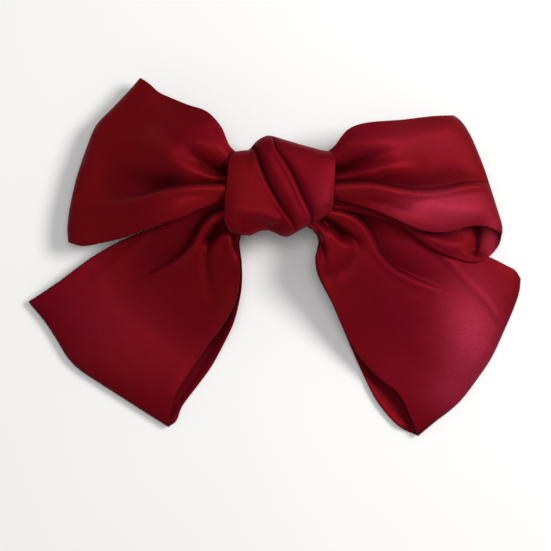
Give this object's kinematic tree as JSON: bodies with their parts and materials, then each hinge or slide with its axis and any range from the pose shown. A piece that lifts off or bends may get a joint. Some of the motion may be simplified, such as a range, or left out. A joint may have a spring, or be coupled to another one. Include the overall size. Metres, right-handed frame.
{
  "type": "hair bow",
  "caption": "Large satin hair bow: two pleated ribbon bands caught in a wrapped knot, sewn to a steel spring barrette that clamps the hair.",
  "frame": {"origin": "middle of the bow's box, on the table it lies on with its clip downwards", "axes": "+Z out of the front of the bow, +Y towards the top of the bow as worn, +X towards the viewer's right"},
  "size_m": [0.1969, 0.1431, 0.0324],
  "materials": {
    "satin": "deep burgundy polyester satin, soft sheen",
    "thread": "twisted polyester sewing thread",
    "felt": "matt pressed felt",
    "plated_steel": "bright nickel plate",
    "spring_steel": "rolled spring steel"
  },
  "bodies": {
    "bow": {"upper_loop_band": "satin", "tail_band": "satin", "knot_wrap": "satin", "centre_binding": "thread", "felt_backing": "felt", "base_plate": "plated_steel", "hinge_pin": "spring_steel", "catch_bracket": "plated_steel", "catch_rivet": "spring_steel", "clip_stitch_1": "thread", "clip_stitch_2": "thread", "clip_stitch_3": "thread", "clip_stitch_4": "thread", "clip_stitch_5": "thread", "clip_stitch_6": "thread"},
    "arm": {"clasp_arm": "plated_steel"},
    "leaf": {"spring_leaf": "spring_steel"},
    "prong_upper": {"catch_prong_upper": "spring_steel"},
    "prong_lower": {"catch_prong_lower": "spring_steel"}
  },
  "joints": [
    {"name": "arm_hinge", "type": "hinge", "parent": "bow", "child": "arm", "pos_m": [0.0392, 0.028, 0.0032], "axis": [0, -1, 0], "range_deg": [0, 85]},
    {"name": "leaf_press", "type": "slide", "parent": "bow", "child": "leaf", "axis": [0, 0, 1], "range_m": [0, 0.0008], "stiffness_N_per_m": 300},
    {"name": "catch_squeeze_upper", "type": "hinge", "parent": "bow", "child": "prong_upper", "pos_m": [-0.0348, 0.02995, 0.0096], "axis": [-1, 0, 0], "range_deg": [0, 8], "stiffness_Nm_per_rad": 0.05},
    {"name": "catch_squeeze_lower", "type": "hinge", "parent": "bow", "child": "prong_lower", "pos_m": [-0.0348, 0.02605, 0.0096], "axis": [1, 0, 0], "range_deg": [0, 8], "stiffness_Nm_per_rad": 0.05}
  ],
  "couplings": [
    {"joint": "catch_squeeze_lower", "follows": "catch_squeeze_upper", "ratio": 1}
  ]
}
